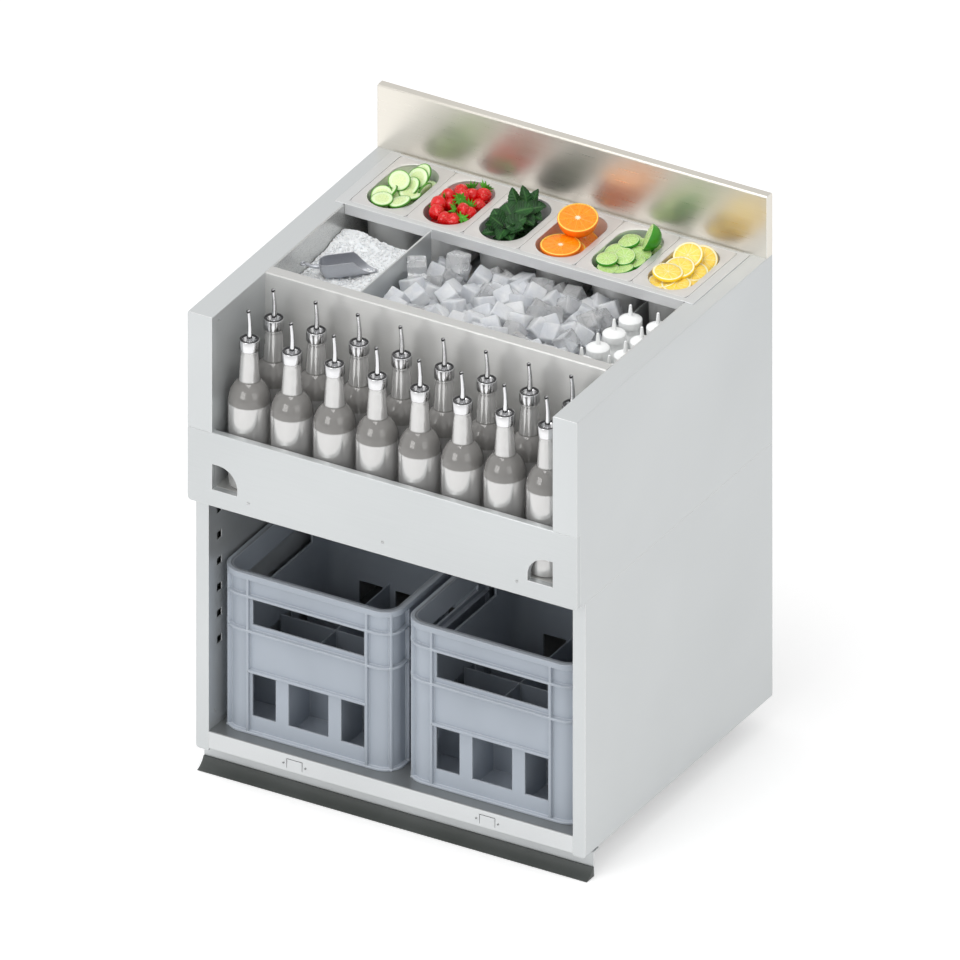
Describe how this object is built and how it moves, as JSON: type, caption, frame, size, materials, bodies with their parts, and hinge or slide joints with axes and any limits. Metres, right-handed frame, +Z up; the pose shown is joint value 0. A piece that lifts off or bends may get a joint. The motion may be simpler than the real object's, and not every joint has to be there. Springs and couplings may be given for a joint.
{
  "type": "bar prep station",
  "caption": "Free-standing stainless bar prep station with a bottle rail, ice well, garnish cups and upstand over an open cabinet with bottle crates.",
  "frame": {"origin": "on the floor, at the middle of the width and the depth", "axes": "+X towards the right side seen from the front, +Y towards the rear, +Z up"},
  "size_m": [0.8, 0.696, 1.0875],
  "materials": {
    "satin_steel": "satin brushed stainless steel",
    "cabinet_steel": "pale satin stainless steel",
    "fastener_steel": "bright steel",
    "foot_steel": "zinc-plated steel",
    "plinth_plastic": "dark grey, slightly glossy",
    "clear_glass": "clear glass",
    "pourer_chrome": "polished, with black cork and tip",
    "foam": "closed-cell foam",
    "ice": "clear and frosty ice",
    "scoop_steel": "grey cast metal",
    "white_plastic": "milky white soft plastic",
    "crate_plastic": "blue-grey moulded plastic",
    "cucumber": "moist cucumber slices",
    "strawberry": "glossy red fruit with green leaves",
    "mint": "dark green leaves",
    "orange": "moist orange pieces",
    "lime": "moist lime slices",
    "lemon": "moist lemon slices"
  },
  "bodies": {
    "station": {"side_panel_left": "cabinet_steel", "side_panel_right": "cabinet_steel", "base_shelf": "cabinet_steel", "tab_studs": "fastener_steel", "back_panel": "cabinet_steel", "top_rail_front": "cabinet_steel", "top_rail_rear": "cabinet_steel", "kick_board": "cabinet_steel", "cove_skirting": "plinth_plastic", "foot_sockets": "fastener_steel", "cheek_left": "satin_steel", "cheek_right": "satin_steel", "front_panel": "satin_steel", "panel_screws": "fastener_steel", "bottle_rail": "satin_steel", "ice_bin": "satin_steel", "bin_insulation": "foam", "bin_casing": "satin_steel", "rear_ledge": "satin_steel", "drain_fitting": "fastener_steel", "drain_nut": "fastener_steel", "drain_grate": "satin_steel", "divider_right": "satin_steel", "garnish_frame": "satin_steel", "upstand": "satin_steel", "crushed_ice": "ice", "ice_cubes": "ice"},
    "crate_left": {"crate_left": "crate_plastic"},
    "crate_right": {"crate_right": "crate_plastic"},
    "divider_left": {"divider_left": "satin_steel"},
    "scoop": {"ice_scoop": "scoop_steel"},
    "bottles_front": {"bottles_front_row": "clear_glass", "pourers_front_row": "pourer_chrome"},
    "bottles_rear": {"bottles_rear_row": "clear_glass", "pourers_rear_row": "pourer_chrome"},
    "squeeze": {"squeeze_bottles": "white_plastic", "squeeze_caps": "white_plastic"},
    "cup_1": {"garnish_cup_1": "satin_steel", "cucumber_slices": "cucumber"},
    "cup_2": {"garnish_cup_2": "satin_steel", "strawberries": "strawberry"},
    "cup_3": {"garnish_cup_3": "satin_steel", "mint_leaves": "mint"},
    "cup_4": {"garnish_cup_4": "satin_steel", "orange_pieces": "orange"},
    "cup_5": {"garnish_cup_5": "satin_steel", "lime_pieces": "lime"},
    "cup_6": {"garnish_cup_6": "satin_steel", "lemon_slices": "lemon"},
    "foot_front_left": {"foot_front_left": "foot_steel"},
    "foot_front_right": {"foot_front_right": "foot_steel"},
    "foot_rear_left": {"foot_rear_left": "foot_steel"},
    "foot_rear_right": {"foot_rear_right": "foot_steel"}
  },
  "joints": [
    {"name": "crate_left_slide", "type": "slide", "parent": "station", "child": "crate_left", "axis": [0, -1, 0], "range_m": [-0.2, 0.42]},
    {"name": "crate_right_slide", "type": "slide", "parent": "station", "child": "crate_right", "axis": [0, -1, 0], "range_m": [-0.2, 0.42]},
    {"name": "divider_left_lift", "type": "slide", "parent": "station", "child": "divider_left", "axis": [0, 0, 1], "range_m": [0, 0.24]},
    {"name": "cup_1_lift", "type": "slide", "parent": "station", "child": "cup_1", "axis": [0, 0, 1], "range_m": [0, 0.12]},
    {"name": "cup_2_lift", "type": "slide", "parent": "station", "child": "cup_2", "axis": [0, 0, 1], "range_m": [0, 0.12]},
    {"name": "cup_3_lift", "type": "slide", "parent": "station", "child": "cup_3", "axis": [0, 0, 1], "range_m": [0, 0.12]},
    {"name": "cup_4_lift", "type": "slide", "parent": "station", "child": "cup_4", "axis": [0, 0, 1], "range_m": [0, 0.12]},
    {"name": "cup_5_lift", "type": "slide", "parent": "station", "child": "cup_5", "axis": [0, 0, 1], "range_m": [0, 0.12]},
    {"name": "cup_6_lift", "type": "slide", "parent": "station", "child": "cup_6", "axis": [0, 0, 1], "range_m": [0, 0.12]},
    {"name": "scoop_lift", "type": "slide", "parent": "station", "child": "scoop", "axis": [0, 0, 1], "range_m": [0, 0.12]},
    {"name": "bottles_front_lift", "type": "slide", "parent": "station", "child": "bottles_front", "axis": [0, 0, 1], "range_m": [0, 0.37]},
    {"name": "bottles_rear_lift", "type": "slide", "parent": "station", "child": "bottles_rear", "axis": [0, 0, 1], "range_m": [0, 0.37]},
    {"name": "squeeze_lift", "type": "slide", "parent": "station", "child": "squeeze", "axis": [0, 0, 1], "range_m": [0, 0.24]},
    {"name": "foot_front_left_screw", "type": "slide", "parent": "station", "child": "foot_front_left", "axis": [0, 0, -1], "range_m": [0, 0.02]},
    {"name": "foot_front_right_screw", "type": "slide", "parent": "station", "child": "foot_front_right", "axis": [0, 0, -1], "range_m": [0, 0.02]},
    {"name": "foot_rear_left_screw", "type": "slide", "parent": "station", "child": "foot_rear_left", "axis": [0, 0, -1], "range_m": [0, 0.02]},
    {"name": "foot_rear_right_screw", "type": "slide", "parent": "station", "child": "foot_rear_right", "axis": [0, 0, -1], "range_m": [0, 0.02]}
  ]
}
